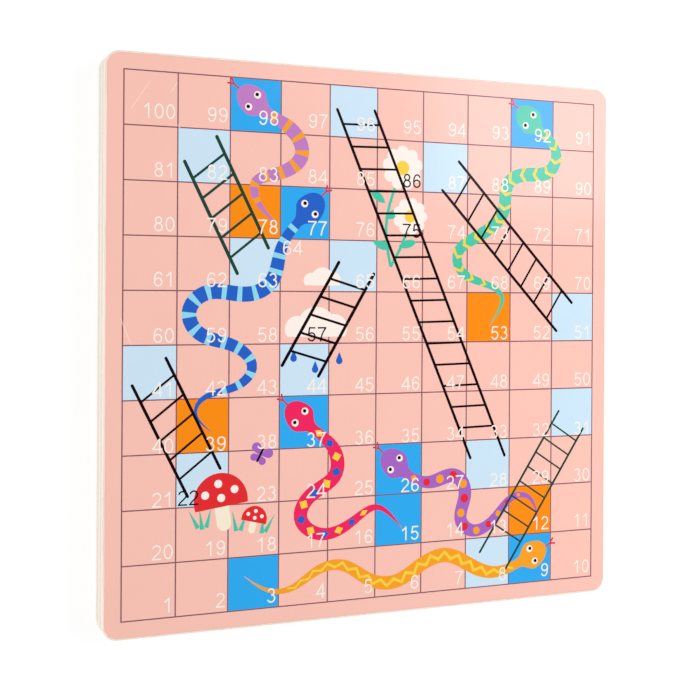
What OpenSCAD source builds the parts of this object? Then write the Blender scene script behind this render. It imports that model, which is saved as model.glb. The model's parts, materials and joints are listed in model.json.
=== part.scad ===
// Snakes and ladders board: a square of five-ply wood with rounded corners, printed on its
// upper face with a ten by ten grid, ladders, snakes and small garden motifs.
// The board lies flat, face up. The origin is the centre of its underside.
// All inks share one layer, so where two meet, the one below is cut away.

/* [Board] */
// Side of the square board
board_side = 225; // [180:1:300]
// Radius of the four corners
corner_r = 6; // [2:0.5:12]
// Radius of the sanded edge round the upper and the lower face
arris = 0.8; // [0.2:0.1:1.2]
// Bare border between the outermost grid line and the board's side
margin = 7.15; // [4:0.05:20]

/* [Plies] */
// Thickness of the outer veneers, front and back
face_ply_t = 2.8; // [2:0.1:5]
// Thickness of the two crossbands
crossband_t = 2.5; // [1:0.1:4]
// Thickness of the middle ply
core_t = 3; // [2:0.1:8]
// Thickness of each glue film between plies
glue_t = 0.1; // [0.05:0.05:0.3]

/* [Print] */
// Thickness of the pink ground coat
ground_t = 0.12; // [0.05:0.01:0.3]
// Thickness of the inks printed on the ground coat
ink_t = 0.05; // [0.02:0.01:0.15]
// Width of the grid lines
line_w = 0.46; // [0.2:0.02:1]
// Width of a ladder's rails
rail_w = 1.2; // [0.5:0.05:2]
// Width of a ladder's rungs
rung_w = 0.88; // [0.3:0.02:1.5]

/* [Snakes] */
// Width of a snake's body
body_w = 6; // [3:0.1:8]
// Width of a snake's head
head_w = 12; // [8:0.1:15]
// Length of a snake's head
head_l = 15; // [10:0.1:18]
// Radius of the white of an eye
eye_r = 1.5; // [1:0.05:2]
// Radius of a pupil
pupil_r = 0.75; // [0.3:0.05:0.95]
// Length of a forked tongue
tongue_l = 5; // [2:0.1:7]
// Width of a forked tongue
tongue_w = 0.7; // [0.4:0.05:1.2]
// Distance from one marking on a body to the next
marking_pitch = 6.4; // [5:0.1:12]
// Length of a marking along the body
marking_l = 3; // [1.5:0.1:4]

/* [Daisies] */
// Distance from a daisy's middle to the middle of each petal's round end
petal_reach = 6.6; // [5:0.1:8]
// Radius of a petal's round end
petal_r = 2.7; // [1.5:0.1:3.5]
// Radius of a daisy's yellow middle
daisy_middle_r = 3; // [2:0.1:4]
// Width of a stem
stem_w = 1.2; // [0.6:0.1:2]
// Length of a leaf
leaf_l = 8.5; // [5:0.1:12]
// Width of a leaf
leaf_w = 3.4; // [2:0.1:5]

/* [Clouds] */
// Radius of a cloud's middle lobe
cloud_r = 8.6; // [5:0.1:10]
// Distance from a raindrop's point to the middle of its round end
drop_reach = 3.6; // [2.4:0.1:6]
// Radius of a raindrop's round end
drop_r = 1.4; // [0.8:0.1:2]

/* [Toadstools] */
// Radius of a toadstool's cap
cap_r = 11; // [7:0.1:13]
// Radius of a spot on a cap
cap_spot_r = 1.6; // [0.8:0.1:2]
// Width of a stalk
stalk_w = 6; // [3:0.1:8]
// Length of a stalk below its cap
stalk_l = 9; // [5:0.1:12]
// Length of a blade of grass
blade_l = 8; // [4:0.1:10]
// Width of a blade of grass at its foot
blade_w = 1.8; // [1:0.1:3]

/* [Butterfly] */
// Distance from the body to the middle of a front wing's round end
front_wing_reach = 3.6; // [3:0.1:5]
// Radius of a front wing's round end
front_wing_r = 1.9; // [1:0.1:2.5]
// Distance from the body to the middle of a hind wing's round end
hind_wing_reach = 2.6; // [2:0.1:4]
// Radius of a hind wing's round end
hind_wing_r = 1.5; // [0.8:0.1:1.8]
// Length of the butterfly's body
butterfly_l = 5; // [4:0.1:8]
// Width of the butterfly's body
butterfly_w = 0.9; // [0.5:0.1:1.2]

/* [Hidden] */
$fn = 48;
end_steps = 8;
squares = 10;
grid_side = board_side - 2 * margin;
cell = grid_side / squares;

// The rounded edge, as steps inwards and upwards in shares of its radius
arris_shares = [[0, 0], [0.13, 0.5], [0.5, 0.87], [1, 1]];

// Levels, from the underside up
crossband_z = face_ply_t + glue_t;
core_z = crossband_z + crossband_t + glue_t;
front_crossband_z = core_z + core_t + glue_t;
front_veneer_z = front_crossband_z + crossband_t + glue_t;
ground_z = front_veneer_z + face_ply_t;
ink_z = ground_z + ground_t;

// Squares by the colour that they are printed in
light_blue_squares = [8, 22, 28, 31, 41, 44, 51, 63, 65, 82, 87, 96];
blue_squares = [3, 9, 15, 26, 37, 77, 92, 98];
orange_squares = [12, 39, 53, 78];

// Ladders. Places are counted in squares from the grid's bottom left corner: the foot and the top
// of the left rail, the step across to the right rail, the number of rungs, how far up the rail
// the lowest and the highest rung are, and how heavy the ladder is drawn.
ladder_22_shares = [[1.22, 2.2], [0.18, 4.27], [0.62, 0.49], 5, 0.155, 0.85, 1];
ladder_44_shares = [[3.05, 4.59], [4.2, 6.57], [0.74, -0.22], 5, 0.14, 0.84, 1.1];
ladder_28_shares = [[7.1, 2.64], [4.15, 9.53], [0.79, 0.02], 15, 0.09, 0.96, 1];
ladder_51_shares = [[9.11, 5.21], [6.43, 8.05], [0.37, 0.59], 8, 0.09, 0.9, 1];
ladder_63_shares = [[2.15, 6.33], [1.13, 8.38], [0.61, 0.49], 5, 0.14, 0.85, 1.15];
ladder_8_shares = [[7.33, 0.71], [9.18, 3.53], [0.6, -0.39], 8, 0.19, 0.91, 0.8];
ladders_shares = [ladder_22_shares, ladder_44_shares, ladder_28_shares,
                  ladder_51_shares, ladder_63_shares, ladder_8_shares];

// Snakes. Each route bends smoothly past its places, from the snout to the tip of the tail,
// counted in squares as the ladders are.
mauve_route_shares = [[2.16, 9.8], [2.72, 9.36], [3.3, 9.1], [3.55, 8.55], [3, 8.2],
                      [2.4, 8.15], [2.5, 7.65], [2.95, 7.25]];
teal_route_shares = [[8.16, 9.8], [8.7, 9.36], [9.2, 9], [8.95, 8.4], [8.3, 8.5], [7.8, 8.25],
                     [7.95, 7.6], [7.3, 7.15], [6.7, 6.9], [6.8, 6.35], [7.4, 6.2], [8, 5.95],
                     [7.5, 5.3]];
blue_route_shares = [[3.84, 7.84], [3.36, 7.34], [2.95, 6.85], [2.95, 6.15], [2.35, 5.85],
                     [1.6, 6.1], [1.1, 5.65], [1.4, 5.1], [2.1, 5.05], [2.6, 4.6], [2.2, 4.15],
                     [1.5, 4.1], [1.25, 3.7], [1.7, 3.35]];
crimson_route_shares = [[3.16, 3.84], [3.66, 3.36], [4.2, 3], [4.25, 2.35], [3.6, 2.15],
                        [3.3, 1.6], [3.9, 1.2], [4.55, 1.5], [5.05, 1.95], [5.6, 1.3]];
purple_route_shares = [[5.16, 2.84], [5.68, 2.36], [6.2, 2.1], [6.75, 2.45], [7.1, 1.95],
                       [6.75, 1.4], [7.2, 1.05], [7.7, 1.35], [8, 1.85], [8.55, 1.85], [8.7, 1.3]];
orange_route_shares = [[8.88, 0.72], [8.28, 0.42], [7.65, 0.2], [7.1, 0.45], [6.6, 0.8], [6, 0.6],
                       [5.5, 0.2], [4.85, 0.3], [4.4, 0.75], [3.8, 0.7], [3.35, 0.3], [2.8, 0.25],
                       [2.3, 0.65]];

// How a snake's width runs along it, and where its eyes, tongue and markings are
head_widest_share = 0.58;
neck_share = 0.66;
swell_share = 0.16;
tail_from_share = 0.4;
eye_along_share = 0.5;
eye_across_share = 0.52;
pupil_forward_share = 0.3;
tongue_fork_share = 0.5;
tongue_turn = 30;
tail_clear_share = 0.12;
diamond_half_share = 0.72;
overrun_share = 1.6;
spot_share = 0.62;
zigzag_swing_share = 0.45;
zigzag_half_share = 0.27;
route_steps = 12;
snout_steps = 7;
outline_pitch = cell / 13;

// Daisies: the place, the size and the turn of each; the places that the stems run past;
// the foot and the turn of each leaf
daisies_shares = [[5.55, 8.46, 1, 10], [5.72, 7.5, 0.85, 0]];
petals = 9;
stems_shares = [[[5.55, 8.46], [5.1, 7.4], [5.3, 6.5]], [[5.72, 7.5], [5.6, 7], [5.3, 6.5]]];
leaves_shares = [[5.17, 7.75, 140], [5.17, 7.45, 25], [5.3, 6.85, 160], [5.47, 6.9, 15]];
stem_steps = 8;

// Clouds: the place and the size of each; a cloud's lobes; the raindrops
clouds_shares = [[3.74, 5.3, 1], [3.86, 6.22, 0.6]];
lobes_shares = [[-0.95, -0.05, 0.62], [0, 0, 1], [0.9, -0.02, 0.68]];
cloud_base_share = 0.42;
drops_shares = [[3.28, 4.72], [3.72, 4.5], [4.22, 4.66]];

// Toadstools: the foot, the size and the lean of each; the spots on a cap; the blades of grass
toadstools_shares = [[1.92, 1.66, 1, 8], [2.46, 1.5, 0.48, -14]];
cap_rim_share = 0.22;
cap_spots_shares = [[-0.55, 0.3], [-0.02, 0.62], [0.55, 0.32], [0.02, 0.1]];
blades_shares = [[1.42, 1.6, 28], [1.5, 1.57, 8], [1.58, 1.6, -14], [2.16, 1.5, 12],
                 [2.24, 1.5, -20], [2.66, 1.42, -6], [2.73, 1.44, -30]];

// The butterfly: its place, its lean and how far its wings are turned up and down
butterfly_share = [2.62, 2.9];
butterfly_lean = -28;
front_wing_turn = 38;
hind_wing_turn = -42;

// Colours of the wood, the glue and the inks
veneer_colour = "#f8ecda";
crossband_colour = "#ecdcc0";
glue_colour = "#b79b74";
ground_colour = "#f3bfae";
line_colour = "#845260";
light_blue = "#c6e2f3";
blue = "#22a4f2";
orange = "#ff8a08";
ladder_black = "#0d0004";
ladder_green = "#10432f";
white_ink = "#fbf3ea";
black_ink = "#17151c";
crimson = "#ea2458";
teal = "#3fbfa0";
deep_blue = "#1f5fc4";
purple = "#9f5fb8";
amber = "#f6a01f";
mauve = "#b877b8";
yellow = "#f8cf3f";
cyan = "#8fd8ea";
red = "#e3262b";
cream = "#f8ecd2";

// A place on the board from its count of squares
function at(place) = [place.x * cell - grid_side / 2, place.y * cell - grid_side / 2];

// Squares are numbered from the bottom left, and every second row runs back
function row_of(number) = floor((number - 1) / squares);
function column_of(number) =
    let (along = (number - 1) % squares)
    row_of(number) % 2 == 0 ? along : squares - 1 - along;

// The wood

module rounded_square(side, r) {
    straight = side - 2 * r;
    square([side, straight], center = true);
    square([straight, side], center = true);
    for (x = [-1, 1], y = [-1, 1])
        translate([x, y] * straight / 2) circle(r);
}

module sheet(z, t) {
    translate([0, 0, z]) linear_extrude(t) rounded_square(board_side, corner_r);
}

// A veneer whose upper face is rounded off all round by the arris, in even steps
module rounded_veneer() {
    straight = board_side - 2 * corner_r;
    half = board_side / 2;
    wall = face_ply_t - arris;
    last = len(arris_shares) - 1;
    function inset(i) = arris * arris_shares[i].x;
    function level(i) = wall + arris * arris_shares[i].y;
    profile = concat([[-half, 0], [half, 0]],
                     [for (i = [0:last]) [half - inset(i), level(i)]],
                     [for (i = [last:-1:0]) [inset(i) - half, level(i)]]);
    for (turn = [0, 90])
        rotate([90, 0, turn]) linear_extrude(straight, center = true) polygon(profile);
    for (x = [-1, 1], y = [-1, 1])
        translate([x, y, 0] * straight / 2) {
            cylinder(r = corner_r, h = wall);
            for (i = [1:last])
                translate([0, 0, level(i - 1)])
                    cylinder(r1 = corner_r - inset(i - 1), r2 = corner_r - inset(i),
                             h = level(i) - level(i - 1));
        }
}

module back_veneer() {
    color(veneer_colour) translate([0, 0, face_ply_t]) rotate([180, 0, 0]) rounded_veneer();
}

module front_veneer() {
    color(veneer_colour) translate([0, 0, front_veneer_z]) rounded_veneer();
}

module core_veneer() {
    color(veneer_colour) sheet(core_z, core_t);
}

module crossband(z) {
    color(crossband_colour) sheet(z, crossband_t);
}

module glue_film(top_z) {
    color(glue_colour) sheet(top_z - glue_t, glue_t);
}

// Shapes that the print is drawn with

module ink(colour) {
    color(colour) translate([0, 0, ink_z]) linear_extrude(ink_t) children();
}

// A line with round ends, each a half turn in even steps
module stroke(from, to, width) {
    run = to - from;
    turn = atan2(run.y, run.x);
    function round_end(place, first) =
        [for (i = [0:end_steps])
             let (angle = first + 180 * i / end_steps)
             place + width / 2 * [cos(angle), sin(angle)]];
    polygon(concat(round_end(to, turn - 90), round_end(from, turn + 90)));
}

// A drop along X: its point at the origin and its round end at the reach
module drop(reach, r) {
    shoulder = reach - r ^ 2 / reach;
    half = r * sqrt(1 - (r / reach) ^ 2);
    translate([reach, 0]) circle(r);
    polygon([[0, 0], [shoulder, half], [shoulder, -half]]);
}

// A pointed leaf along X, where two circles meet
module leaf(length, width) {
    r = (length ^ 2 + width ^ 2) / (4 * width);
    intersection() {
        translate([length / 2, r - width / 2]) circle(r);
        translate([length / 2, width / 2 - r]) circle(r);
    }
}

// The ground coat, the grid and its squares

module pink_ground_coat() {
    color(ground_colour)
        translate([0, 0, ground_z])
            linear_extrude(ground_t) rounded_square(board_side - 2 * arris, corner_r - arris);
}

module grid_lines() {
    for (i = [0:squares]) {
        place = i * cell - grid_side / 2;
        translate([place, 0]) square([line_w, grid_side + line_w], center = true);
        translate([0, place]) square([grid_side + line_w, line_w], center = true);
    }
}

module printed_squares(numbers) {
    inset = [line_w, line_w] / 2;
    for (number = numbers)
        translate(at([column_of(number), row_of(number)]) + inset) square(cell - line_w);
}

// The ladders

module ladder(shares) {
    foot = at(shares[0]);
    top = at(shares[1]);
    across = shares[2] * cell;
    gaps = shares[3] - 1;
    weight = shares[6];
    stroke(foot, top, rail_w * weight);
    stroke(foot + across, top + across, rail_w * weight);
    for (i = [0:gaps]) {
        start = foot + (top - foot) * (shares[4] + (shares[5] - shares[4]) * i / gaps);
        stroke(start, start + across, rung_w * weight);
    }
}

module ladders() {
    for (shares = ladders_shares) ladder(shares);
}

module ladder_ink(colour, shares) {
    ink(colour) ladder(shares);
}

// A smooth line past a list of places: a cubic B-spline that reaches its first and last place
function with_ends(route) =
    let (last = len(route) - 1)
    concat([2 * route[0] - route[1]], route, [2 * route[last] - route[last - 1]]);
function weights(u) =
    [(1 - u) ^ 3, 3 * u ^ 3 - 6 * u ^ 2 + 4, 3 * (u + u ^ 2 - u ^ 3) + 1, u ^ 3] / 6;
function on_spline(route, t) =
    let (places = with_ends(route),
         i = min(floor(t), len(route) - 2))
    weights(t - i) * [places[i], places[i + 1], places[i + 2], places[i + 3]];

// A line is its route, a table of the length run at each step along it, and its whole length
function step_length(route, i) =
    norm(on_spline(route, (i + 1) / route_steps) - on_spline(route, i / route_steps));
function line_of(shares) =
    let (route = [for (place = shares) at(place)],
         steps = (len(route) - 1) * route_steps,
         table = [for (i = 0, run = 0; i <= steps;
                       run = run + (i < steps ? step_length(route, i) : 0), i = i + 1)
                  [run, i / route_steps]])
    [route, table, table[steps][0]];
function whole(line) = line[2];
function spine(line, s) = on_spline(line[0], lookup(s, line[1]));
function heading(line, s) =
    let (run = spine(line, s + outline_pitch) - spine(line, s - outline_pitch))
    run / norm(run);
function beside(line, s, offset) =
    let (ahead = heading(line, s))
    spine(line, s) + offset * [-ahead.y, ahead.x];

// Half of a snake's width at a length from its snout: a rounded head, a neck, a body and a tail
function ease(x) = (1 - cos(180 * min(max(x, 0), 1))) / 2;
function head_half(s) =
    let (widest = head_l * head_widest_share)
    s < widest ? head_w / 2 * sqrt(1 - (1 - s / widest) ^ 2)
               : (head_w - (head_w - body_w * neck_share) * ease((s - widest) / (head_l - widest))) / 2;
function body_half(line, s) =
    let (swell = ease((s - head_l) / (whole(line) * swell_share)),
         tail = max(0, (s / whole(line) - tail_from_share) / (1 - tail_from_share)))
    body_w / 2 * (neck_share + (1 - neck_share) * swell) * (1 - min(1, tail) ^ 2);
function half_width(line, s) = s < head_l ? head_half(s) : body_half(line, s);
function on_body(line, s, across_share) = beside(line, s, across_share * half_width(line, s));

// Lengths at which a snake's outline has its points, close together round the snout
function outline_lengths(line) =
    let (widest = head_l * head_widest_share,
         rest = whole(line) - widest,
         count = ceil(rest / outline_pitch))
    concat([for (i = [1:snout_steps - 1]) widest * (1 - cos(90 * i / snout_steps))],
           [for (i = [0:count - 1]) widest + rest * i / count]);

module snake(line) {
    lengths = outline_lengths(line);
    last = len(lengths) - 1;
    polygon(concat([spine(line, 0)],
                   [for (i = [0:last]) on_body(line, lengths[i], 1)],
                   [spine(line, whole(line))],
                   [for (i = [last:-1:0]) on_body(line, lengths[i], -1)]));
}

module eyes(line, r) {
    for (side = [-1, 1])
        translate(on_body(line, head_l * eye_along_share, side * eye_across_share)) circle(r);
}

module pupils(line) {
    forward = (eye_r - pupil_r) * pupil_forward_share;
    translate(-forward * heading(line, head_l * eye_along_share)) eyes(line, pupil_r);
}

module tongue(line) {
    ahead = -heading(line, 0);
    turn = atan2(ahead.y, ahead.x);
    snout = spine(line, 0);
    fork = snout + ahead * tongue_l * tongue_fork_share;
    prong_l = tongue_l * (1 - tongue_fork_share);
    difference() {
        union() {
            stroke(snout - ahead * tongue_w, fork, tongue_w);
            for (prong = [turn - tongue_turn, turn + tongue_turn])
                stroke(fork, fork + prong_l * [cos(prong), sin(prong)], tongue_w);
        }
        snake(line);
    }
}

// Lengths at which a snake's markings are, from behind its head to before the tip of its tail
function marking_lengths(line) =
    let (room = whole(line) * (1 - tail_clear_share) - head_l)
    [for (i = [0:floor(room / marking_pitch) - 1]) head_l + (i + 1 / 2) * marking_pitch];
function every_second(list, first) = [for (i = [first:2:len(list) - 1]) list[i]];
function halved(list) = [for (s = list, half = [0, 1 / 2]) s + half * marking_pitch];

module diamonds(line, lengths) {
    for (s = lengths)
        polygon([on_body(line, s - marking_l * 2 / 3, 0), on_body(line, s, diamond_half_share),
                 on_body(line, s + marking_l * 2 / 3, 0), on_body(line, s, -diamond_half_share)]);
}

module spots(line, lengths) {
    for (s = lengths) translate(spine(line, s)) circle(spot_share * half_width(line, s));
}

// Chevrons and rings run out over both sides of the body, which then trims them
module chevrons(line, lengths) {
    side = overrun_share;
    for (s = lengths)
        polygon([on_body(line, s + marking_l / 2, 0), on_body(line, s - marking_l / 2, side),
                 on_body(line, s - marking_l, side), on_body(line, s, 0),
                 on_body(line, s - marking_l, -side), on_body(line, s - marking_l / 2, -side)]);
}

module rings(line, lengths) {
    side = overrun_share;
    half = marking_l / 3;
    for (s = lengths)
        polygon([on_body(line, s - half, side), on_body(line, s, side),
                 on_body(line, s + half, side), on_body(line, s + half, -side),
                 on_body(line, s, -side), on_body(line, s - half, -side)]);
}

module zigzag(line, lengths) {
    last = len(lengths) - 1;
    function swing(i) = zigzag_swing_share * (i % 2 == 0 ? 1 : -1);
    polygon(concat([for (i = [0:last]) on_body(line, lengths[i], swing(i) + zigzag_half_share)],
                   [for (i = [last:-1:0]) on_body(line, lengths[i], swing(i) - zigzag_half_share)]));
}

// The six snakes

crimson_line = line_of(crimson_route_shares);
teal_line = line_of(teal_route_shares);
blue_line = line_of(blue_route_shares);
purple_line = line_of(purple_route_shares);
orange_line = line_of(orange_route_shares);
mauve_line = line_of(mauve_route_shares);
snake_lines = [crimson_line, teal_line, blue_line, purple_line, orange_line, mauve_line];

module snakes() {
    for (line = snake_lines) {
        snake(line);
        tongue(line);
    }
}

// A body's ink, without its eyes and the markings given as children
module body_ink(colour, line) {
    ink(colour) difference() {
        snake(line);
        children();
        eyes(line, eye_r);
        ladders();
    }
}

// The ink of the markings given as children, trimmed to the body
module marking_ink(colour, line) {
    ink(colour) difference() {
        intersection() {
            snake(line);
            children();
        }
        ladders();
    }
}

module crimson_snake_body_ink() {
    body_ink(crimson, crimson_line) diamonds(crimson_line, marking_lengths(crimson_line));
}

module crimson_snake_yellow_diamond_ink() {
    marking_ink(yellow, crimson_line)
        diamonds(crimson_line, every_second(marking_lengths(crimson_line), 0));
}

module crimson_snake_blue_diamond_ink() {
    marking_ink(deep_blue, crimson_line)
        diamonds(crimson_line, every_second(marking_lengths(crimson_line), 1));
}

module teal_snake_body_ink() {
    body_ink(teal, teal_line) chevrons(teal_line, marking_lengths(teal_line));
}

module teal_snake_chevron_ink() {
    marking_ink(yellow, teal_line) chevrons(teal_line, marking_lengths(teal_line));
}

module blue_snake_body_ink() {
    body_ink(deep_blue, blue_line) rings(blue_line, marking_lengths(blue_line));
}

module blue_snake_ring_ink() {
    marking_ink(cyan, blue_line) rings(blue_line, marking_lengths(blue_line));
}

module purple_snake_body_ink() {
    body_ink(purple, purple_line) spots(purple_line, marking_lengths(purple_line));
}

module purple_snake_orange_spot_ink() {
    marking_ink(amber, purple_line)
        spots(purple_line, every_second(marking_lengths(purple_line), 0));
}

module purple_snake_red_spot_ink() {
    marking_ink(red, purple_line) spots(purple_line, every_second(marking_lengths(purple_line), 1));
}

module orange_snake_body_ink() {
    body_ink(amber, orange_line) zigzag(orange_line, halved(marking_lengths(orange_line)));
}

module orange_snake_zigzag_ink() {
    marking_ink(yellow, orange_line) zigzag(orange_line, halved(marking_lengths(orange_line)));
}

module mauve_snake_body_ink() {
    body_ink(mauve, mauve_line) rings(mauve_line, marking_lengths(mauve_line));
}

module mauve_snake_ring_ink() {
    marking_ink(amber, mauve_line) rings(mauve_line, marking_lengths(mauve_line));
}

module snake_eye_ink() {
    ink(white_ink) for (line = snake_lines)
        difference() {
            eyes(line, eye_r);
            pupils(line);
        }
}

module snake_pupil_ink() {
    ink(black_ink) for (line = snake_lines) pupils(line);
}

module snake_tongue_ink() {
    ink(red) for (line = snake_lines) tongue(line);
}

// The daisies

module daisy_petals() {
    for (daisy = daisies_shares, i = [0:petals - 1])
        translate(at(daisy)) rotate(daisy[3] + 360 * i / petals)
            drop(petal_reach * daisy[2], petal_r * daisy[2]);
}

module daisy_middles() {
    for (daisy = daisies_shares) translate(at(daisy)) circle(daisy_middle_r * daisy[2]);
}

module stem(shares) {
    line = line_of(shares);
    function edge(i, side) = beside(line, whole(line) * i / stem_steps, side * stem_w / 2);
    polygon(concat([for (i = [0:stem_steps]) edge(i, 1)],
                   [for (i = [stem_steps:-1:0]) edge(i, -1)]));
}

module daisy_leaves() {
    for (shares = stems_shares) stem(shares);
    for (shares = leaves_shares) translate(at(shares)) rotate(shares[2]) leaf(leaf_l, leaf_w);
}

module daisy_petal_ink() {
    ink(white_ink) difference() {
        daisy_petals();
        daisy_middles();
        ladders();
    }
}

module daisy_middle_ink() {
    ink(yellow) difference() {
        daisy_middles();
        ladders();
    }
}

module daisy_leaf_ink() {
    ink(teal) difference() {
        daisy_leaves();
        daisy_petals();
        daisy_middles();
        ladders();
    }
}

// The clouds and the rain

module clouds() {
    for (cloud = clouds_shares) {
        r = cloud_r * cloud[2];
        translate(at(cloud)) intersection() {
            union() {
                for (lobe = lobes_shares) translate([lobe.x, lobe.y] * r) circle(r * lobe[2]);
            }
            translate([-2 * r, -cloud_base_share * r]) square([4 * r, 2 * r]);
        }
    }
}

module raindrops() {
    for (place = drops_shares)
        translate(at(place)) rotate(-90) translate([-drop_reach, 0]) drop(drop_reach, drop_r);
}

module cloud_ink() {
    ink(white_ink) difference() {
        clouds();
        ladders();
    }
}

module raindrop_ink() {
    ink(deep_blue) difference() {
        raindrops();
        clouds();
        ladders();
    }
}

// The toadstools and the grass at their feet

module on_toadstool(toadstool, rise) {
    translate(at(toadstool)) rotate(toadstool[3]) translate([0, rise * toadstool[2]]) children();
}

module caps() {
    for (toadstool = toadstools_shares) {
        r = cap_r * toadstool[2];
        on_toadstool(toadstool, stalk_l) intersection() {
            circle(r);
            translate([-r, -cap_rim_share * r]) square([2 * r, 2 * r]);
        }
    }
}

module cap_spots() {
    for (toadstool = toadstools_shares, spot = cap_spots_shares)
        on_toadstool(toadstool, stalk_l)
            translate(spot * cap_r * toadstool[2]) circle(cap_spot_r * toadstool[2]);
}

module stalks() {
    for (toadstool = toadstools_shares)
        on_toadstool(toadstool, 0)
            stroke([0, 0], [0, stalk_l * toadstool[2]], stalk_w * toadstool[2]);
}

module grass() {
    for (blade = blades_shares)
        translate(at(blade)) rotate(blade[2])
            polygon([[-blade_w / 2, 0], [blade_w / 2, 0], [0, blade_l]]);
}

module toadstool_cap_ink() {
    ink(red) difference() {
        caps();
        cap_spots();
        ladders();
    }
}

module toadstool_spot_ink() {
    ink(white_ink) difference() {
        cap_spots();
        ladders();
    }
}

module toadstool_stalk_ink() {
    ink(cream) difference() {
        stalks();
        caps();
        ladders();
    }
}

module grass_blade_ink() {
    ink(teal) difference() {
        grass();
        stalks();
        caps();
    }
}

// The butterfly

module on_butterfly() {
    translate(at(butterfly_share)) rotate(butterfly_lean) children();
}

module butterfly_body() {
    on_butterfly() stroke([0, -butterfly_l / 2], [0, butterfly_l / 2], butterfly_w);
}

module butterfly_wings() {
    on_butterfly() for (side = [0, 1])
        mirror([side, 0]) {
            rotate(front_wing_turn) drop(front_wing_reach, front_wing_r);
            rotate(hind_wing_turn) drop(hind_wing_reach, hind_wing_r);
        }
}

module butterfly_wing_ink() {
    ink(purple) difference() {
        butterfly_wings();
        butterfly_body();
    }
}

module butterfly_body_ink() {
    ink(black_ink) butterfly_body();
}

// What the squares and the grid lines are cut away for
module figures() {
    ladders();
    snakes();
    daisy_petals();
    daisy_leaves();
    clouds();
    raindrops();
    caps();
    stalks();
    grass();
    butterfly_wings();
    butterfly_body();
}

module square_ink(colour, numbers) {
    ink(colour) difference() {
        printed_squares(numbers);
        figures();
    }
}

module grid_line_ink() {
    ink(line_colour) difference() {
        grid_lines();
        figures();
    }
}

back_veneer();
glue_film(crossband_z);  // back_glue_film
crossband(crossband_z);  // back_crossband
glue_film(core_z);  // core_back_glue_film
core_veneer();
glue_film(front_crossband_z);  // core_front_glue_film
crossband(front_crossband_z);  // front_crossband
glue_film(front_veneer_z);  // front_glue_film
front_veneer();
pink_ground_coat();
grid_line_ink();
square_ink(light_blue, light_blue_squares);  // light_blue_square_ink
square_ink(blue, blue_squares);  // blue_square_ink
square_ink(orange, orange_squares);  // orange_square_ink
ladder_ink(ladder_black, ladder_22_shares);  // ladder_22_to_41_ink
ladder_ink(ladder_black, ladder_44_shares);  // ladder_44_to_65_ink
ladder_ink(ladder_black, ladder_28_shares);  // ladder_28_to_96_ink
ladder_ink(ladder_black, ladder_51_shares);  // ladder_51_to_87_ink
ladder_ink(ladder_green, ladder_63_shares);  // ladder_63_to_82_ink
ladder_ink(ladder_green, ladder_8_shares);  // ladder_8_to_31_ink
crimson_snake_body_ink();
crimson_snake_yellow_diamond_ink();
crimson_snake_blue_diamond_ink();
teal_snake_body_ink();
teal_snake_chevron_ink();
blue_snake_body_ink();
blue_snake_ring_ink();
purple_snake_body_ink();
purple_snake_orange_spot_ink();
purple_snake_red_spot_ink();
orange_snake_body_ink();
orange_snake_zigzag_ink();
mauve_snake_body_ink();
mauve_snake_ring_ink();
snake_eye_ink();
snake_pupil_ink();
snake_tongue_ink();
daisy_petal_ink();
daisy_middle_ink();
daisy_leaf_ink();
cloud_ink();
raindrop_ink();
toadstool_cap_ink();
toadstool_spot_ink();
toadstool_stalk_ink();
grass_blade_ink();
butterfly_wing_ink();
butterfly_body_ink();
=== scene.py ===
import json
import math

import bmesh
import bpy
from mathutils import Matrix, Vector
from mathutils.geometry import interpolate_bezier

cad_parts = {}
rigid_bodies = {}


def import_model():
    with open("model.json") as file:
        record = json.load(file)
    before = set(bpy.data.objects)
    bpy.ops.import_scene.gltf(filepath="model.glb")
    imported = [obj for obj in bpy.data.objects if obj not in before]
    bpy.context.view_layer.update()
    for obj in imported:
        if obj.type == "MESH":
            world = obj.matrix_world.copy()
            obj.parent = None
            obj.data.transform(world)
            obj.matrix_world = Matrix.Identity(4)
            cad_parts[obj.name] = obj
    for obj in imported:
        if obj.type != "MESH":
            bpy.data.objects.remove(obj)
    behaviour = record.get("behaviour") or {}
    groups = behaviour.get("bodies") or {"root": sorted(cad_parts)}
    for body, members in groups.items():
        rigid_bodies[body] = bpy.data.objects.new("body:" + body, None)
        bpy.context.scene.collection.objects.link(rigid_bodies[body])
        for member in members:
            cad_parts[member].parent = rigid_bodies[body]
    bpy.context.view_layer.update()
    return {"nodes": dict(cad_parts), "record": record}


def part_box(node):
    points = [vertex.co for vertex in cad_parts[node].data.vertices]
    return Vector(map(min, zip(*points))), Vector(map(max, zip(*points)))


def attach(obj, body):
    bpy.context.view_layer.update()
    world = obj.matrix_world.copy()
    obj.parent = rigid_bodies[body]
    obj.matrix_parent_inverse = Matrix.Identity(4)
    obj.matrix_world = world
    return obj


# The looks of a snakes and ladders board: a plywood slab lying face up, printed and lacquered.
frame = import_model()

MM = 0.001

# What the frame gives: the printed grid, and the levels of the ground coat and of the inks
SQUARES = 10
lines_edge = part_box("grid_line_ink")[1].x
squares_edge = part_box("light_blue_square_ink")[1].x
grid_half = (lines_edge + squares_edge) / 2
cell = 2 * grid_half / SQUARES
ground_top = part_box("pink_ground_coat")[1].z
ink_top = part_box("grid_line_ink")[1].z
board_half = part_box("front_veneer")[1].x
board_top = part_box("front_veneer")[1].z


def on_grid(column, row):
    """A place on the print, counted in squares from the grid's bottom left corner."""
    return Vector((column * cell - grid_half, row * cell - grid_half))


# Nodes of materials and of geometry trees


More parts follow.
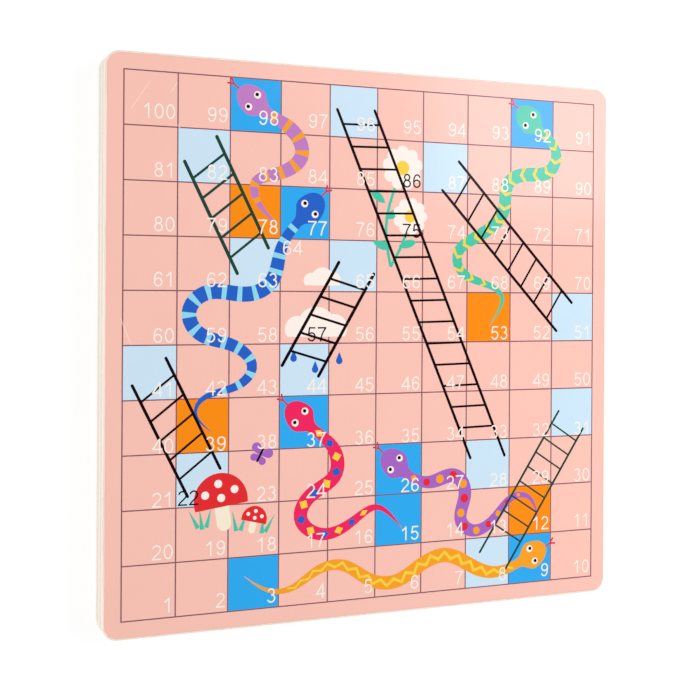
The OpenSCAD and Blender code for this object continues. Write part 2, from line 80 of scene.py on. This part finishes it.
class Wire:
    """A node's output. Arithmetic on a value adds Math nodes."""

    def __init__(self, tree, socket):
        self.tree = tree
        self.socket = socket

    def maths(self, operation, *values):
        return self.tree.add("ShaderNodeMath", {"operation": operation}, dict(enumerate(values)))

    def __add__(self, other):
        return self.maths("ADD", self, other)

    def __radd__(self, other):
        return self.maths("ADD", other, self)

    def __sub__(self, other):
        return self.maths("SUBTRACT", self, other)

    def __rsub__(self, other):
        return self.maths("SUBTRACT", other, self)

    def __mul__(self, other):
        return self.maths("MULTIPLY", self, other)

    def __rmul__(self, other):
        return self.maths("MULTIPLY", other, self)

    def __abs__(self):
        return self.maths("ABSOLUTE", self)

    def larger(self, other):
        return self.maths("MAXIMUM", self, other)

    def part(self):
        """What is left of a value above the whole number below it."""
        return self.maths("FRACT", self)


class Tree:
    """A node tree that is filled by one method."""

    def __init__(self, tree):
        self.tree = tree

    def add(self, kind, settings=None, sockets=None, output=0):
        node = self.tree.nodes.new(kind)
        for name, value in (settings or {}).items():
            setattr(node, name, value)
        for name, value in (sockets or {}).items():
            if isinstance(value, Wire):
                self.tree.links.new(value.socket, node.inputs[name])
            else:
                node.inputs[name].default_value = value
        return Wire(self, node.outputs[output]) if len(node.outputs) else None


MIX_A = 6
MIX_B = 7
MIX_COLOUR_OUT = 2
SCALE_SOCKET = 3


class Finish(Tree):
    """A material made of nodes."""

    def __init__(self, name):
        self.material = bpy.data.materials.new(name)
        self.material.use_nodes = True
        super().__init__(self.material.node_tree)
        self.tree.nodes.clear()

    def place(self):
        """Object coordinates in millimetres."""
        coordinates = self.add("ShaderNodeTexCoord", output="Object")
        return self.stretch(coordinates, (1 / MM, 1 / MM, 1 / MM))

    def stretch(self, vector, factors):
        return self.add("ShaderNodeVectorMath", {"operation": "MULTIPLY"}, {0: vector, 1: factors})

    def axis(self, vector, name):
        return self.add("ShaderNodeSeparateXYZ", None, {0: vector}, name)

    def turned(self, vector, degrees):
        turn = (0, 0, math.radians(degrees))
        return self.add("ShaderNodeMapping", None, {"Vector": vector, "Rotation": turn})

    def noise(self, vector, scale, detail=2.0, roughness=0.5):
        """Noise about zero, from -0.5 to 0.5."""
        sockets = {"Vector": vector, "Scale": scale, "Detail": detail, "Roughness": roughness}
        return self.add("ShaderNodeTexNoise", None, sockets) - 0.5

    def step(self, value, low, high):
        """Runs smoothly from 0 at low to 1 at high."""
        sockets = {"Value": value, "From Min": low, "From Max": high}
        return self.add("ShaderNodeMapRange", {"interpolation_type": "SMOOTHSTEP"}, sockets)

    def mix(self, factor, a, b):
        sockets = {0: factor, MIX_A: a, MIX_B: b}
        return self.add("ShaderNodeMix", {"data_type": "RGBA"}, sockets, MIX_COLOUR_OUT)

    def brighter(self, colour, factor):
        vector = colour if isinstance(colour, Wire) else colour[:3]
        sockets = {0: vector, SCALE_SOCKET: factor}
        return self.add("ShaderNodeVectorMath", {"operation": "SCALE"}, sockets)

    def bump(self, height, strength, depth):
        sockets = {"Height": height, "Strength": strength, "Distance": depth}
        return self.add("ShaderNodeBump", None, sockets)

    def surface(self, **sockets):
        names = {name.replace("_", " "): value for name, value in sockets.items()}
        shader = self.add("ShaderNodeBsdfPrincipled", None, names)
        self.add("ShaderNodeOutputMaterial", None, {"Surface": shader})
        return self.material


def linear(code):
    """A colour written as six hex digits, as the linear values that nodes take."""
    shares = [int(code[i : i + 2], 16) / 255 for i in (0, 2, 4)]
    values = [c / 12.92 if c <= 0.04045 else ((c + 0.055) / 1.055) ** 2.4 for c in shares]
    return (*values, 1.0)


# Print. The face veneer's grain runs along Y, and it shows faintly through the ink.
# Patterns are on millimetres: a stretch gives their changes per millimetre along X, Y and Z.

INK_FIBRES = (2.6, 0.09, 1)
SCUFFS = (1.6, 0.03, 1)
SCUFF_ANGLE = 34
# Painted shade along the board's edges: the band, in millimetres from the middle, where the ink is
# darkened
EDGE_SHADE_FROM = board_half / MM - 1.6
EDGE_SHADE_TO = board_half / MM - 0.5
SCRATCH_STRENGTH = 0.45
SCRATCH_COLOUR = "fff3ec"
LACQUER_ROUGHNESS = 0.16
INK_RELIEF = 0.02 * MM


def scratch(finish, place, start, end, width):
    """A mask of one straight scratch, in millimetres on the board, that fades at both ends."""
    run = end - start
    length = run.length
    ahead = run / length
    x = finish.axis(place, "X") - start.x
    y = finish.axis(place, "Y") - start.y
    along = x * ahead.x + y * ahead.y
    across = abs(x * ahead.y - y * ahead.x)
    fade = length / 5
    ends = finish.step(along, 0, fade) * (1 - finish.step(along, length - fade, length))
    return ends * (1 - finish.step(across, width / 4, width))


def print_finish(name, colour, gloss=0.13, scratches=(), edge_shade=0.0):
    """Ink under a satin lacquer. Painted shade darkens it along the board's edges, most at the
    right.
    """
    finish = Finish(name)
    place = finish.place()
    cloud = finish.noise(place, 0.07, 3)
    fibres = finish.noise(finish.stretch(place, INK_FIBRES), 1, 4, 0.6)
    stipple = finish.noise(place, 4.5, 2)
    scuffs = finish.noise(finish.stretch(finish.turned(place, SCUFF_ANGLE), SCUFFS), 1, 2)
    scuffs = finish.step(scuffs, 0.22, 0.34)
    level = 1 + cloud * 0.035 + fibres * 0.035 + stipple * 0.03 + scuffs * 0.02
    # Painted shade: the ink darkens in a band along the board's edges, more towards the right
    if edge_shade:
        x = finish.axis(place, "X")
        y = finish.axis(place, "Y")
        painted_edge_shade = finish.step(abs(x).larger(abs(y)), EDGE_SHADE_FROM, EDGE_SHADE_TO)
        level = level - painted_edge_shade * edge_shade * (1 + x * (0.5 / board_half * MM))
    ink = finish.brighter(linear(colour), level)
    roughness = LACQUER_ROUGHNESS + cloud * 0.05 + stipple * 0.08 + scuffs * 0.1
    height = fibres + stipple * 0.5
    for start, end, width in scratches:
        mask = scratch(finish, place, start, end, width)
        ink = finish.mix(mask * SCRATCH_STRENGTH, ink, linear(SCRATCH_COLOUR))
        roughness = roughness + mask * 0.2
        height = height - mask * 2
    return finish.surface(
        Base_Color=ink,
        Roughness=roughness,
        Specular_IOR_Level=gloss,
        Normal=finish.bump(height, 0.25, INK_RELIEF),
    )


def scratched(*places):
    """Scratches given in squares of the grid, as start, end and width in millimetres."""
    return [(on_grid(*start) / MM, on_grid(*end) / MM, width) for start, end, width in places]


scratches = scratched(
    ((0.51, 9.87), (0.09, 9.22), 0.22),
    ((1.0, 9.85), (0.86, 9.62), 0.25),
    ((-0.06, 5.55), (0.17, 4.97), 0.3),
    ((1.0, 9.06), (1.05, 8.97), 0.45),
)

print_colours = {
    "light_blue_ink": "cbe4f2",
    "blue_ink": "2aa9ed",
    "orange_ink": "fb8c00",
    "green_ink": "0e4030",
    "white_ink": "fcf0e5",
    "crimson_ink": "f01f5c",
    "teal_ink": "42c6a4",
    "deep_blue_ink": "1f5fc4",
    "purple_ink": "a563c0",
    "amber_ink": "f6a01f",
    "mauve_ink": "bf7cc0",
    "yellow_ink": "f8cf3f",
    "cyan_ink": "8fd8ea",
    "red_ink": "e3262b",
    "cream_ink": "f8ecd2",
}
finishes = {slot: print_finish(slot, colour) for slot, colour in print_colours.items()}
finishes["black_ink"] = print_finish("black_ink", "0d0004", 0.05)
finishes["pink_ground"] = print_finish("pink_ground", "f9c3b3", 0.13, scratches, 0.1)
finishes["line_ink"] = print_finish("line_ink", "845260", 0.1, scratches)


# Wood. Each veneer's grain runs along one axis of the board, and the sides across it show end
# grain.

GROWTH = (0.035, 0.006, 0.5)
RINGS_TO_A_GROWTH = 14
STREAKS = (1.1, 0.03, 1.1)
PORES = (4, 0.3, 4)
RAYS = (1.3, 1.3, 0.2)
# Colour of the painted highlight on the sides of the board, next to the print
TOP_HIGHLIGHT_COLOUR = "ffe8d6"
WOOD_RELIEF = 0.03 * MM
TOP = board_top / MM


def veneer_finish(name, colour, end_colour, along_y):
    """Sanded, clear-lacquered veneer, with a painted highlight that makes it paler near the print.
    """
    finish = Finish(name)
    place = finish.place()
    if not along_y:
        place = finish.turned(place, 90)
    x = finish.axis(place, "X")
    y = finish.axis(place, "Y")
    z = finish.axis(place, "Z")
    sides = finish.step(z, 0.05, 0.4) * (1 - finish.step(z, TOP - 0.3, TOP))
    end_grain = finish.step(abs(y) - abs(x), -0.5, 0.5) * sides
    growth = finish.noise(finish.stretch(place, GROWTH), 1, 3, 0.45)
    rings = (growth * RINGS_TO_A_GROWTH).part()
    latewood = finish.step(rings, 0.55, 0.95) * (1 - finish.step(rings, 0.95, 1.0))
    streaks = finish.noise(finish.stretch(place, STREAKS), 1, 4, 0.6)
    pores = finish.step(finish.noise(finish.stretch(place, PORES), 1, 2), 0.12, 0.26)
    cells = finish.noise(place, 3, 4, 0.7)
    rays = finish.noise(finish.stretch(place, RAYS), 1, 3, 0.6)
    ends = cells + rays * 0.7
    level = 1 - latewood * 0.1 + streaks * 0.22 - pores * 0.14 + ends * end_grain * 0.32
    wood = finish.mix(end_grain, linear(colour), linear(end_colour))
    # Painted highlight: the sides turn paler and pinker in the top few millimetres, next to the
    # print
    painted_top_highlight = finish.step(z, TOP - 3.5, TOP - 1.5)
    wood = finish.mix(painted_top_highlight * 0.6, wood, linear(TOP_HIGHLIGHT_COLOUR))
    height = streaks - pores + ends * end_grain
    return finish.surface(
        Base_Color=finish.brighter(wood, level),
        Roughness=0.48 + streaks * 0.15 + pores * 0.15,
        Specular_IOR_Level=0.4,
        Coat_Weight=0.1,
        Coat_Roughness=0.35,
        Normal=finish.bump(height, 0.4, WOOD_RELIEF),
    )


def glue_finish():
    finish = Finish("glue")
    beads = finish.noise(finish.place(), 1.5, 3)
    return finish.surface(
        Base_Color=finish.brighter(linear("c2a880"), 1 + beads * 0.3),
        Roughness=0.5 + beads * 0.2,
    )


finishes["face_veneer"] = veneer_finish("face_veneer", "f8eee2", "ecdfca", True)
finishes["crossband_veneer"] = veneer_finish("crossband_veneer", "f1e6d6", "e9decd", False)
finishes["glue"] = glue_finish()

for row in frame["record"]["subparts"]:
    node = frame["nodes"][row["node"]]
    node.data.materials.clear()
    node.data.materials.append(finishes[row["material_slot"]])


# Numbers. A figure is drawn with a pen of even width, on a height of 1 from its foot.

FIGURE_ADVANCE = 0.777
PEN = 0.1
ARC_STEP = 12
CURVE_POINTS = 10
SHAPE_DEPTH = 0.2


def arc(centre, radii, start, end):
    """Points on an ellipse, by angles in degrees."""
    count = math.ceil(abs(end - start) / ARC_STEP)
    angles = [math.radians(start + (end - start) * i / count) for i in range(count + 1)]
    return [
        Vector((centre[0] + radii[0] * math.cos(a), centre[1] + radii[1] * math.sin(a)))
        for a in angles
    ]


def bend(start, first, second, end):
    """Points on a cubic curve."""
    return interpolate_bezier(*[Vector(p) for p in (start, first, second, end)], CURVE_POINTS)


def bar(start, end):
    return [Vector(start), Vector(end)]


def half_turned(strokes):
    """A figure's strokes turned upside down about its middle."""
    return [[Vector((FIGURE_ADVANCE - p.x, 1 - p.y)) for p in stroke] for stroke in strokes]


middle = FIGURE_ADVANCE / 2
foot = PEN / 2
head = 1 - PEN / 2
six = [
    arc((middle, 0.312), (0.25, 0.252), 0, 360),
    bend((0.14, 0.32), (0.12, 0.7), (0.22, head), (0.41, head))
    + bend((0.41, head), (0.53, head), (0.61, 0.87), (0.63, 0.75))[1:],
]
figures = [
    [arc((middle, 0.5), (0.264, 0.5 - foot), 0, 360)],
    [bar((0.46, 0), (0.46, 1)), bend((0.15, 0.715), (0.25, 0.76), (0.36, 0.85), (0.43, 0.94))],
    [
        arc((0.378, 0.7), (0.25, head - 0.7), 168, -24)
        + bend((0.606, 0.602), (0.54, 0.42), (0.2, 0.27), (0.13, foot))[1:],
        bar((0.06, foot), (0.7, foot)),
    ],
    [
        arc((0.365, 0.735), (0.215, head - 0.735), 158, -85),
        arc((0.37, 0.3), (0.255, 0.3 - foot), 85, -162),
    ],
    [bar((0.55, 0), (0.55, 1)), bar((0.02, 0.29), (0.73, 0.29)), bar((0.535, 0.95), (0.07, 0.28))],
    [
        bar((0.2, head), (0.66, head)),
        bar((0.225, 1), (0.15, 0.48)),
        arc((0.375, 0.325), (0.262, 0.325 - foot), 142, -158),
    ],
    six,
    [
        bar((0.06, head), (0.7, head)),
        bend((0.65, 0.93), (0.45, 0.7), (0.3, 0.35), (0.275, 0)),
    ],
    [
        arc((middle, 0.742), (0.2, head - 0.742), 0, 360),
        arc((middle, 0.295), (0.25, 0.295 - foot), 0, 360),
    ],
    half_turned(six),
]


def pen_sides(points):
    """The two sides of a stroke at each of its points, mitred where it bends."""
    closed = (points[0] - points[-1]).length < PEN / 100
    if closed:
        points = points[:-1]
    sides = []
    for i, point in enumerate(points):
        before = points[i - 1] if closed or i else None
        after = points[(i + 1) % len(points)] if closed or i < len(points) - 1 else None
        runs = [(b - a).normalized() for a, b in ((before, point), (point, after)) if a and b]
        normals = [Vector((-run.y, run.x)) for run in runs]
        across = sum(normals, Vector((0, 0))).normalized()
        across = across * PEN / 2 / across.dot(normals[0])
        sides.append((point + across, point - across))
    return sides, closed


def figure_shape(name, strokes):
    """A flat solid of one figure, with its strokes still overlapping."""
    mesh = bmesh.new()
    for stroke in strokes:
        sides, closed = pen_sides(stroke)
        rings = []
        for left, right in sides:
            corners = [(left, 0), (right, 0), (right, SHAPE_DEPTH), (left, SHAPE_DEPTH)]
            rings.append([mesh.verts.new((*place, z)) for place, z in corners])
        following = rings[1:] + rings[:1] if closed else rings[1:]
        for ring, after in zip(rings, following):
            for i in range(4):
                j = (i + 1) % 4
                mesh.faces.new((ring[i], ring[j], after[j], after[i]))
        if not closed:
            mesh.faces.new(rings[0][::-1])
            mesh.faces.new(rings[-1])
    bmesh.ops.recalc_face_normals(mesh, faces=mesh.faces)
    data = bpy.data.meshes.new(name)
    mesh.to_mesh(data)
    mesh.free()
    return bpy.data.objects.new(name, data)


def number_tree():
    """Puts a figure on every point by the number that the point carries."""
    group = bpy.data.node_groups.new("printed_numbers", "GeometryNodeTree")
    inputs = {
        "Points": "NodeSocketGeometry",
        "Figures": "NodeSocketCollection",
        "Size": "NodeSocketVector",
        "Ink": "NodeSocketMaterial",
    }
    for name, kind in inputs.items():
        group.interface.new_socket(name, in_out="INPUT", socket_type=kind)
    group.interface.new_socket("Print", in_out="OUTPUT", socket_type="NodeSocketGeometry")
    tree = Tree(group)
    given = group.nodes.new("NodeGroupInput")
    points, shapes, size, ink = [Wire(tree, given.outputs[name]) for name in inputs]
    shapes = tree.add(
        "GeometryNodeCollectionInfo",
        {"transform_space": "ORIGINAL"},
        {"Collection": shapes, "Separate Children": True, "Reset Children": True},
    )
    figure = tree.add("GeometryNodeInputNamedAttribute", {"data_type": "INT"}, {"Name": "figure"})
    placed = tree.add(
        "GeometryNodeInstanceOnPoints",
        None,
        {"Points": points, "Instance": shapes, "Pick Instance": True, "Instance Index": figure,
         "Scale": size},
    )
    real = tree.add("GeometryNodeRealizeInstances", None, {"Geometry": placed})
    inked = tree.add("GeometryNodeSetMaterial", None, {"Geometry": real, "Material": ink})
    tree.add("NodeGroupOutput", None, {"Print": inked})
    return group


def made_plain(maker, name):
    """A new object with the mesh that a piece has once its modifiers have run."""
    bpy.context.view_layer.update()
    seen = maker.evaluated_get(bpy.context.evaluated_depsgraph_get())
    piece = bpy.data.objects.new(name, bpy.data.meshes.new_from_object(seen))
    bpy.data.objects.remove(maker)
    return piece


def joined(shape):
    """A figure whose overlapping strokes are made one solid."""
    bpy.context.scene.collection.objects.link(shape)
    empty = bpy.data.objects.new("nothing", bpy.data.meshes.new("nothing"))
    bpy.context.scene.collection.objects.link(empty)
    union = shape.modifiers.new("union", "BOOLEAN")
    union.operation = "UNION"
    union.use_self = True
    union.object = empty
    name = shape.name
    shape.name = name + "_strokes"
    one = made_plain(shape, name)
    bpy.data.objects.remove(empty)
    return one


# How the numbers are set on their squares, in shares of a square
figure_height = 0.275 * cell
right_edge = 0.968
baselines = [0.09, 0.07, 0.03, 0.015, 0.05, 0.04, 0.07, 0.08, 0.072, 0.14]
dark_numbers = {22, 57, 75, 86}
set_apart = {22: (1.02, 2.035), 64: (3.03, 6.69)}
raised = 0.02 * MM


def number_places(number):
    """Where each figure of a number stands, with the figure."""
    text = str(number)
    row, along = divmod(number - 1, SQUARES)
    column = along if row % 2 == 0 else SQUARES - 1 - along
    advance = FIGURE_ADVANCE * figure_height
    if number in set_apart:
        start = on_grid(*set_apart[number])
    else:
        start = on_grid(column + right_edge, row + baselines[row])
        start.x -= len(text) * advance
    return [(start + Vector((i * advance, 0)), int(figure)) for i, figure in enumerate(text)]


shapes = bpy.data.collections.new("figures")
for i, strokes in enumerate(figures):
    shapes.objects.link(joined(figure_shape(f"figure_{i}", strokes)))
numbers_group = number_tree()


def printed_numbers(name, numbers, slot):
    """The numbers of one colour as one piece on the ground coat, a hair above the inks."""
    places = [place for number in numbers for place in number_places(number)]
    data = bpy.data.meshes.new(name)
    data.from_pydata([(*at, ground_top) for at, _ in places], [], [])
    figure = data.attributes.new("figure", "INT", "POINT")
    figure.data.foreach_set("value", [figure for _, figure in places])
    maker = bpy.data.objects.new(name + "_points", data)
    bpy.context.scene.collection.objects.link(maker)
    modifier = maker.modifiers.new("numbers", "NODES")
    modifier.node_group = numbers_group
    depth = (ink_top + raised - ground_top) / SHAPE_DEPTH
    size = (figure_height, figure_height, depth)
    values = {"Figures": shapes, "Size": size, "Ink": finishes[slot]}
    for socket in numbers_group.interface.items_tree:
        if socket.name in values:
            modifier[socket.identifier] = values[socket.name]
    piece = made_plain(maker, name)
    bpy.context.scene.collection.objects.link(piece)
    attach(piece, "root")


every_number = range(1, SQUARES * SQUARES + 1)
pale_numbers = [number for number in every_number if number not in dark_numbers]
printed_numbers("white_numbers", pale_numbers, "white_ink")
printed_numbers("dark_numbers", sorted(dark_numbers), "black_ink")
for shape in list(shapes.objects):
    bpy.data.objects.remove(shape)
bpy.data.collections.remove(shapes)


# Floor, world and lamps

WHITE = (1, 1, 1, 1)
FLOOR_RADIUS = 6
FLOOR_SIDES = 96
FLOOR_GREY = (0.86, 0.86, 0.86, 1)
SHADOW_GREY = (0.2, 0.2, 0.2, 1)
GLOW_NEAR = 0.84
GLOW_GAIN = 0.1
GAIN_FROM = 300
GAIN_TO = 800


def seen_directly(tree):
    """1 for what the camera sees, in gloss and through glass too."""
    path = tree.tree.nodes.new("ShaderNodeLightPath")
    kinds = ("Camera", "Glossy", "Transmission")
    camera, glossy, transmission = [Wire(tree, path.outputs[f"Is {kind} Ray"]) for kind in kinds]
    return camera.larger(glossy).larger(transmission)


def make_floor():
    """A pale floor that looks white, also far from the lamps, and keeps a faint shadow."""
    finish = Finish("floor")
    place = finish.place()
    away = finish.add("ShaderNodeVectorMath", {"operation": "LENGTH"}, {0: place}, "Value")
    level = GLOW_NEAR + finish.step(away, GAIN_FROM, GAIN_TO) * GLOW_GAIN
    lit = finish.add("ShaderNodeBsdfDiffuse", None, {"Color": FLOOR_GREY})
    glow = finish.add("ShaderNodeEmission", None, {"Color": finish.brighter(WHITE, level)})
    faint = finish.add("ShaderNodeBsdfDiffuse", None, {"Color": SHADOW_GREY})
    shown = finish.add("ShaderNodeAddShader", None, {0: glow, 1: faint})
    mixed = finish.add("ShaderNodeMixShader", None, {0: seen_directly(finish), 1: lit, 2: shown})
    finish.add("ShaderNodeOutputMaterial", None, {"Surface": mixed})
    mesh = bmesh.new()
    bmesh.ops.create_circle(mesh, cap_ends=True, radius=FLOOR_RADIUS, segments=FLOOR_SIDES)
    data = bpy.data.meshes.new("floor")
    mesh.to_mesh(data)
    mesh.free()
    data.materials.append(finish.material)
    floor = bpy.data.objects.new("floor", data)
    bpy.context.scene.collection.objects.link(floor)


def light_world(strength):
    """Plain light from all round, and white where it is seen."""
    world = bpy.data.worlds.new("studio")
    world.use_nodes = True
    bpy.context.scene.world = world
    tree = Tree(world.node_tree)
    world.node_tree.nodes.clear()
    level = strength + seen_directly(tree) * (1 - strength)
    back = tree.add("ShaderNodeBackground", None, {"Color": WHITE, "Strength": level})
    tree.add("ShaderNodeOutputWorld", None, {"Surface": back})


def add_lamp(name, place, aim, side, power, colour=(1, 1, 1), in_sheen=True):
    """A square lamp, which the lacquer mirrors only where it belongs in the sheen."""
    data = bpy.data.lights.new(name, "AREA")
    data.size = side
    data.energy = power
    data.color = colour
    lamp = bpy.data.objects.new(name, data)
    lamp.location = place
    lamp.visible_glossy = in_sheen
    lamp.rotation_euler = (Vector(aim) - Vector(place)).to_track_quat("-Z", "Y").to_euler()
    bpy.context.scene.collection.objects.link(lamp)


make_floor()
light_world(0.525)
add_lamp("softbox", (0.57, 0.275, 0.8), (0.57, 0.275, 0), 0.3, 3.3, (1, 0.97, 1.1))
add_lamp("softbox_spill", (0.31, 0.35, 0.8), (0.31, 0.35, 0), 0.21, 0.55)
add_lamp("right", (0.8, -0.1, 0.62), (0, 0, 0), 0.5, 2.76, in_sheen=False)
add_lamp("left", (-0.9, -0.1, 0.25), (0, 0, 0), 0.6, 3.4, in_sheen=False)


# Camera, with the board's far side upwards, at the place and with the lens that the grid's
# perspective gives

camera_place = Vector((-0.1956, 0.0204, 0.4613))
camera_aim = Vector((-0.0163, 0.0193, 0.0142))
camera_roll = math.radians(0.344)
data = bpy.data.cameras.new("camera")
data.lens = 62.41
data.shift_y = -0.0647
camera = bpy.data.objects.new("camera", data)
back = (camera_place - camera_aim).normalized()
right = Vector((0, 1, 0)).cross(back).normalized()
camera.matrix_world = Matrix((right, back.cross(right), back)).transposed().to_4x4()
camera.location = camera_place
camera.rotation_euler.rotate_axis("Z", camera_roll)
bpy.context.scene.collection.objects.link(camera)
bpy.context.scene.camera = camera
bpy.context.scene.view_settings.view_transform = "Standard"
